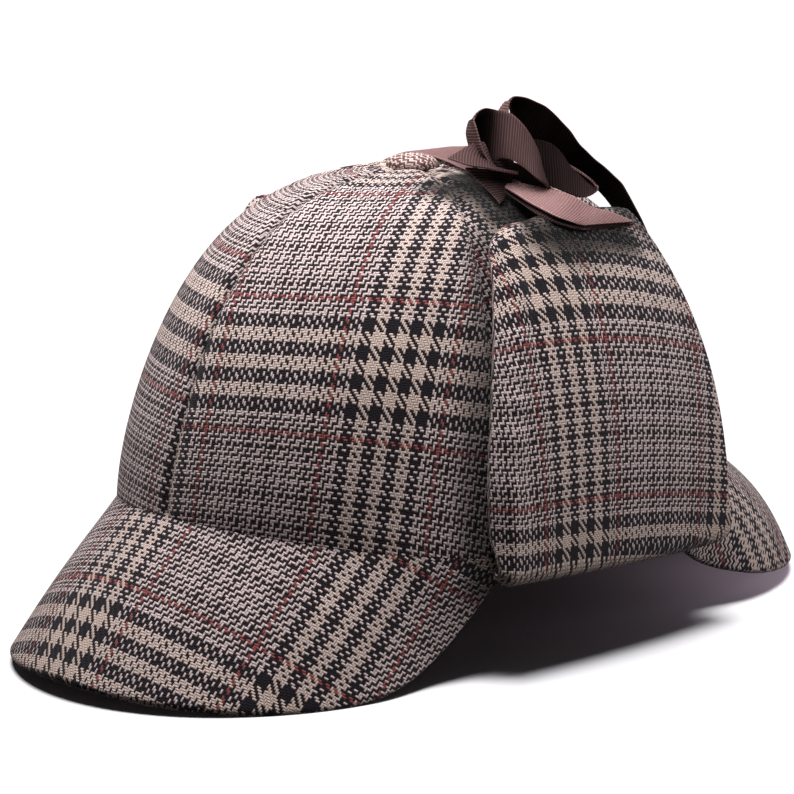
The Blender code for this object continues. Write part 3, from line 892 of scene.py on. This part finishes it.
button = dict(
    radius=0.0085,
    height=0.0050,
    dome=0.0032,
    rounding=0.0012,
    shank=0.0026,
    gap=0.0003,
    pleats=22,
    pleatDepth=0.00018,
    turns=96,
    lean=(-0.0012, -0.0012, -0.0011),   # the cap sits a little to the front and side
    skirtFrom=0.8,          # of the radius, where the pleats and the painted shade of the rim begin
    skirtFade=0.003,
    rimShade=0.6,
    threadPitch=0.00072,
    checkMiddle=(80, 81, 0),
    checkTurn=0.8,
)


def crownButton():
    base = crown["rimHeight"] + crown["rise"] + button["gap"]
    waist = base + button["height"] - button["dome"]
    angles = np.radians(np.linspace(0, 90, 26))
    radii = list(button["radius"] * np.sin(angles))
    heights = list(waist + button["dome"] * np.cos(angles))
    curl = np.radians(np.linspace(10, 90, 8))
    radii += list(button["radius"] - button["rounding"] * (1 - np.cos(curl)))
    heights += list(base + button["rounding"] - button["rounding"] * np.sin(curl))
    neck = crown["apexHole"] - 2 * button["gap"]
    radii += [neck, neck, 0]
    heights += [base, base - button["shank"], base - button["shank"]]
    radii, heights = np.array(radii), np.array(heights)
    turn = np.linspace(0, 2 * math.pi, button["turns"], endpoint=False)
    walked = np.concatenate([[0], np.cumsum(np.hypot(np.diff(radii), np.diff(heights)))])
    pleated = np.clip((walked - button["skirtFrom"] * button["radius"]) / button["skirtFade"], 0, 1)
    pleated = pleated * (radii > neck + 1e-5)
    folds = 1 + np.cos(button["pleats"] * turn)
    wave = 1 - button["pleatDepth"] / button["radius"] * pleated[:, None] * folds
    x = radii[:, None] * wave * np.cos(turn)
    y = radii[:, None] * wave * np.sin(turn)
    z = heights[:, None] + 0 * x
    points = np.stack([x, y, z], -1)
    points += np.array(button["lean"]) * (heights > base - 1e-6)[:, None, None]
    heading = turn + button["checkTurn"]
    cloth = walked[:, None, None] * np.stack([np.cos(heading), np.sin(heading), 0 * heading], -1)
    cloth = cloth / button["threadPitch"] + np.array(button["checkMiddle"])
    # painted shade on the rim
    cloth[..., 2] = button["rimShade"] * pleated[:, None]
    rows = len(radii)
    ring = points[1:-1].reshape(-1, 3)
    points = np.concatenate([ring, points[0, :1], points[-1, :1]])
    cloth = np.concatenate([cloth[1:-1].reshape(-1, 3), cloth[0, :1], cloth[-1, :1]])
    index = np.arange((rows - 2) * button["turns"]).reshape(rows - 2, -1)
    faces = ringFaces(index).tolist()
    top, bottom = len(points) - 2, len(points) - 1
    faces += [[top, b, a] for a, b in zip(index[0], np.roll(index[0], -1))]
    faces += [[bottom, a, b] for a, b in zip(index[-1], np.roll(index[-1], -1))]
    piece = meshPiece("button_cloth", points, np.array(faces, dtype=object), cloth, buttonCloth)
    finishPiece(piece, "crown_button")


print("button")
crownButton()


ribbon = dict(
    thickness=0.0009,
    ribPitch=0.00095,
    ribDepth=0.00009,
    ribSamples=5,
    edgeShare=0.07,         # of the half width, where the band gets thinner
    edgeThinning=0.75,
    columns=15,
    # painted shade on the side turned away from the camera
    unseenSideShade=0.30,
    cutAslant=("bow_tail_left", "bow_tail_right", "bow_tail_right_under"),
)
knot = dict(
    centre=(36.0, 2.0, 150.5),
    setBack=(-2.0, 2.5, 0.0),   # from that place, behind the loops
    size=(9.0, 9.5, 10.0),
    fill=0.80,
    boxiness=0.72,          # 1 is an ellipsoid, 0 a box
    ribPitch=1.15,
    wraps=3,
    # painted shade over the whole knot
    depth=0.92,
    rings=40,
    turns=72,
    creaseDepth=0.05,
)
# Where the picture shows the ribbon, it is set down as seen there. Each row is one crosswise line
# of it: x and y in the picture and mm towards the camera from the knot, for one selvage, then
# for the other, and the painted shade of the side seen there, darkest deep in the folds, from 0 to 1.
seenRows = {
    "tie_left": (
        (465, 168, 3, 518, 173, -2, 0.90),
        (472, 175, 4, 514, 176, -1, 0.90),
        (482, 184, 6, 511, 183, 0, 0.88),
        (491, 193, 8, 507, 191, 2, 0.85),
        (500, 203, 10, 503, 200, 6, 0.80),
    ),
    "bow_loop_front": (
        (492, 166, 2, 486, 168, -6, 0.60),
        (483, 152, 7, 472, 152, -4, 0.60),
        (478.6, 137, 8, 466.8, 137, -4, 0.58),
        (475.7, 127, 8, 467.2, 128, -4, 0.58),
        (473.5, 119.5, 7, 470.5, 121, -6, 0.75),
        (478, 112, 5, 473, 134, -7, 1.00),
        (485, 108.3, 3, 480, 152, -5, 1.00),
        (492, 109, 3, 488, 162, -3, 0.97),
        (498, 110.4, 3, 495.5, 161, 0, 0.72),
        (504, 111.3, 3, 501, 158, 2, 0.60),
        (511, 113.5, 3, 508, 158.8, 4, 0.55),
        (517, 118, 3, 513.5, 160.8, 5, 0.57),
        (522.5, 124, 3, 520, 165, 6, 0.59),
        (528, 131.5, 2, 527, 170, 7, 0.62),
        (533.6, 141.4, 1, 534, 176, 8, 0.68),
        (538, 151.4, 0, 540.5, 180.7, 8, 0.78),
        (541.4, 165, -1, 545, 184, 7, 0.85),
        (545, 175.7, -1, 548, 187, 5, 0.90),
        (549.5, 186.5, -1, 549.5, 188.5, 1, 0.97),
        (544, 178, -6, 543, 189, -1, 1.00),
        (532, 170, -7, 532, 188.5, -4, 1.00),
        (516, 163, -7, 516, 184, -5, 1.00),
        (500, 158, -7, 502, 178, -4, 1.00),
        (488, 154, -7, 490, 170, -4, 1.00),
    ),
    "bow_strip": (
        (508, 124, -4, 494, 120, -14, 0.50),
        (508, 110, -4, 500, 109, -14, 0.35),
        (509.5, 101.5, -4, 506.5, 102, -14, 0.35),
        (513, 97.3, -4, 510, 108, -15, 0.90),
        (518, 96.5, -4, 512, 121, -14, 1.00),
        (527, 98, -4, 516, 131, -13, 1.00),
        (536, 101.8, -4, 522, 140, -12, 1.00),
        (545.5, 106.4, -4, 530, 147, -12, 1.00),
        (554.5, 114, -4, 539, 153, -12, 1.00),
        (563.6, 123.6, -5, 548, 158, -13, 1.00),
        (571, 131.8, -5, 555, 163, -14, 1.00),
        (579, 143.6, -6, 562, 168, -15, 1.00),
        (586.4, 151, -7, 568, 172, -16, 1.00),
        (594.5, 159, -8, 574, 177, -18, 1.00),
        (604.5, 167, -9, 583, 181, -20, 0.97),
        (613.6, 175.5, -10, 591, 184.5, -21, 0.95),
        (621.8, 183.6, -11, 599, 191, -23, 0.92),
        (627.3, 192.7, -12, 607, 200, -25, 0.92),
        (634.5, 206, -14, 615.5, 212, -26, 0.92),
        (641.8, 220, -16, 623, 225, -27, 0.95),
        (647, 231.8, -18, 630, 238, -28, 0.95),
        (652, 243, -20, 637, 251, -29, 0.95),
    ),
    "bow_loop_rear": (
        (530, 176, 1, 526, 139, -6, 1.00),
        (538, 180, 2, 535, 139.5, -6, 1.00),
        (546, 184, 3, 544, 141, -5, 1.00),
        (557, 188.5, 4, 553, 145, -5, 0.98),
        (565, 192, 4, 562, 154, -6, 0.95),
        (573, 195, 4, 571, 167.5, -7, 0.95),
        (581, 197, 3, 580, 174, -9, 0.92),
        (590, 195.5, 1, 589, 180, -12, 0.90),
        (597.5, 189.5, -3, 593, 183, -15, 0.95),
        (595, 184, -6, 586, 177, -17, 0.90),
        (584, 175, -7, 574, 168, -18, 0.35),
        (568, 166, -7, 560, 160, -18, 0.60),
        (548, 162, -7, 540, 156, -18, 0.90),
    ),
    "bow_tail_left": (
        (518, 172.3, 1, 518, 173.3, 4, 0.75),
        (504, 169.8, 1, 504, 171.2, 6, 0.74),
        (495, 166.5, 1, 494, 169.6, 8, 0.72),
        (490, 158, 1, 484, 167.6, 9, 0.68),
        (484.5, 143.5, 1, 468, 165.3, 10, 0.60),
        (476, 141.5, 1, 448, 158.5, 9, 0.55),
    ),
    "bow_tail_right": (
        (509, 178, -4, 505, 188, 4, 0.25),
        (524, 184, -3, 516, 194, 9, 0.0),
        (539, 187, 0, 530, 203, 13, 0.0),
        (555, 190, 3, 546, 211.5, 17, 0.0),
        (572, 196, 5, 558, 217.5, 18, 0.0),
        (592, 207, 3, 571, 222, 16, 0.0),
        (612, 212.5, 0, 578, 224.5, 14, 0.0),
        (633.6, 222, -4, 584.5, 225.7, 12.5, 0.05),
    ),
    "bow_tail_right_under": (
        (509, 181, -5, 503, 190, 3, 0.85),
        (524, 187, -4, 518, 200.5, 8, 0.85),
        (539, 190, -1, 530, 209, 12.5, 0.85),
        (555, 194, 2, 543, 217, 16.5, 0.85),
        (572, 200, 4, 556, 223, 17.5, 0.85),
        (592, 210, 2, 571, 228, 15.5, 0.85),
        (612, 215.5, -1, 578, 229, 13.5, 0.85),
        (633, 225, -5, 585, 229, 12, 0.85),
    ),
}
# The rest is out of sight. The same for the far tie, with x, y and z in mm on the hat.
farRows = {
    "tie_right": (
        (26.5, -2.1, 149.0, 24.5, 9.1, 155.0, 0.5),
        (18.7, 0.5, 149.6, 17.3, 13.5, 154.9, 0.3),
        (8.7, 5.7, 149.7, 7.3, 20.3, 153.6, 0.25),
        (-6.7, 12.0, 149.8, -5.3, 26.8, 151.4, 0.2),
        (-22.3, 17.4, 148.8, -17.7, 31.5, 149.4, 0.1),
        (-35.2, 20.0, 145.0, -30.8, 34.0, 145.4, 0.1),
        (-43.6, 19.6, 140.8, -39.4, 33.4, 138.6, 0.1),
    ),
}
sameNode = {"bow_tail_right_under": "bow_tail_right"}   # two layers of one tail
# Painted shadow: the tweed darkens close to these: which pieces, moved right, up and towards the camera
closeShades = (
    dict(pieces=("bow_", "tie_left"), softness=0.0074, depth=1.72, shift=(-0.0035, -0.0068, 0.001),
         falls=("crown", "ear_flap_left")),
    dict(pieces=("ear_flap_left",), softness=0.0075, depth=1.1, shift=(-0.003, -0.002, 0.0),
         falls=("crown", "front_visor")),
)


def fromPicture(x, y, toward):
    # the place seen at x, y in the picture, so far in front of the knot
    right, up, back = pictureAxes()
    depth = (np.array(knot["centre"]) * mm - aimPoint()) @ back + toward * mm
    scale = view["pixelsPerMetre"] * view["distance"] / (view["distance"] - depth)
    half = view["framePixels"] / 2
    return aimPoint() + right * (x - half) / scale + up * (half - y) / scale + back * depth


def catmullRom(points, place):
    # points along a smooth curve; place runs from 0 to the number of spans
    last = len(points) - 1
    low = np.minimum(place.astype(int), last - 1)
    share = (place - low)[:, None]
    a, b, c, d = (points[np.clip(low + k, 0, last)] for k in (-1, 0, 1, 2))
    return 0.5 * (2 * b + (c - a) * share + (2 * a - 5 * b + 4 * c - d) * share**2
                  + (3 * b - a - 3 * c + d) * share**3)


def ribbonPiece(name, nearSelvage, farSelvage, foldShades):
    middles = (nearSelvage + farSelvage) / 2
    widths = (farSelvage - nearSelvage) / 2
    fine = np.linspace(0, len(middles) - 1, 60 * len(middles))
    walked = arcLengths(catmullRom(middles, fine))
    count = int(walked[-1] / ribbon["ribPitch"] * ribbon["ribSamples"]) + 2
    place = np.interp(np.linspace(0, walked[-1], count), walked, fine)
    middle, width = catmullRom(middles, place), catmullRom(widths, place)
    shares = 2 * evenPlaces(ribbon["columns"], 0.5) - 1
    sheet = middle[:, None] + width[:, None] * shares[None, :, None]
    normals = gridNormals(sheet)
    ribs = np.linspace(0, walked[-1], count)[:, None] + 0 * sheet[..., 0]
    if name in ribbon["cutAslant"]:
        ribs = arcLengths(sheet)        # square to the selvages, so each lengthwise line counts its own
    ribs = ribs / ribbon["ribPitch"]
    body = ribbon["thickness"] / 2 - ribbon["ribDepth"] * (0.5 - 0.5 * np.cos(2 * math.pi * ribs))
    pastEdge = np.clip((np.abs(shares) - 1) / ribbon["edgeShare"] + 1, 0, 1)
    edge = np.sqrt(1 - ribbon["edgeThinning"] * pastEdge**2)
    offset = normals * (body * edge)[..., None]
    depth = np.interp(place, np.arange(len(foldShades)), foldShades)[:, None]
    # the row's painted shade goes on the side facing the camera, the fixed painted shade on the other side
    seen = normals @ pictureAxes()[2] > 0
    across = (shares[None] + 1) / 2 + 0 * ribs
    outerCloth = np.stack([ribs + 0.5, across, np.where(seen, depth, ribbon["unseenSideShade"])], -1)
    innerCloth = np.stack([ribs + 0.5, across, np.where(seen, ribbon["unseenSideShade"], depth)], -1)
    piece = closedShell(name + "_band", sheet + offset, sheet - offset, outerCloth, innerCloth, ribbonCloth)
    node = sameNode.get(name, name)
    finishPiece(piece, node)
    corner = sheet[:-1, :-1]
    cells = np.cross(sheet[1:, :-1] - corner, sheet[:-1, 1:] - corner)
    cut = float(np.linalg.norm(2 * width, axis=1).max())


def bowKnot():
    # a soft rounded block wrapped by the ribbon, its ribs lying round it
    tilt = np.linspace(-math.pi / 2, math.pi / 2, knot["rings"])
    turn = np.linspace(0, 2 * math.pi, knot["turns"], endpoint=False)
    lat, lon = np.meshgrid(tilt, turn, indexing="ij")

    def boxy(value):
        return np.sign(value) * np.abs(value) ** knot["boxiness"]

    crease = 1 - knot["creaseDepth"] * np.cos(3 * lon + 2.2 * lat) * np.cos(lat)
    x = boxy(np.cos(lat)) * boxy(np.cos(lon)) * crease
    y = boxy(np.cos(lat)) * boxy(np.sin(lon)) * crease
    z = boxy(np.sin(lat))
    centre = (np.array(knot["centre"]) + knot["setBack"]) * mm
    points = np.stack([x, y, z], -1) * np.array(knot["size"]) * (mm / 2 * knot["fill"]) + centre
    ribs = z * knot["size"][2] / 2 / knot["ribPitch"]
    across = lon / (2 * math.pi) * knot["wraps"] % 1
    cloth = np.stack([ribs, across, knot["depth"] + 0 * z], -1)
    faces = ringFaces(np.arange(lat.size).reshape(lat.shape))
    piece = meshPiece("knot_wrap", points.reshape(-1, 3), faces, cloth.reshape(-1, 3), ribbonCloth)
    finishPiece(piece, "bow_knot")


# paints a shadow into the cloth attribute of the pieces it falls on
def shadeClose(shade):
    meshes = {piece.name: piece.data for piece in bpy.data.objects
              if piece.type == "MESH" and "cloth" in piece.data.attributes}
    casting = np.concatenate([pointsOf(mesh)[::4] for name, mesh in meshes.items()
                              if name.startswith(shade["pieces"])])
    casting = casting + np.array(shade["shift"]) @ np.stack(pictureAxes())
    tree = KDTree(len(casting))
    for index, point in enumerate(casting):
        tree.insert(point, index)
    tree.balance()
    low, high = casting.min(0) - 2 * shade["softness"], casting.max(0) + 2 * shade["softness"]
    for name, mesh in meshes.items():
        if not name.startswith(shade["falls"]):
            continue
        points = pointsOf(mesh)
        held = mesh.attributes["cloth"].data
        cloth = np.empty(len(points) * 3, np.float32)
        held.foreach_get("vector", cloth)
        cloth = cloth.reshape(-1, 3)
        for index in np.flatnonzero(((points > low) & (points < high)).all(1)):
            away = tree.find(points[index])[2] / shade["softness"]
            cloth[index, 2] = max(cloth[index, 2], shade["depth"] * math.exp(-away**3))
        held.foreach_set("vector", cloth.ravel())


print("ribbons")
for name, rows in seenRows.items():
    selvages = [np.array([fromPicture(*row[k:k + 3]) for row in rows]) for k in (0, 3)]
    ribbonPiece(name, *selvages, [row[6] for row in rows])
for name, rows in farRows.items():
    selvages = [np.array([row[k:k + 3] for row in rows]) * mm for k in (0, 3)]
    ribbonPiece(name, *selvages, [row[6] for row in rows])
bowKnot()
for shade in closeShades:
    shadeClose(shade)
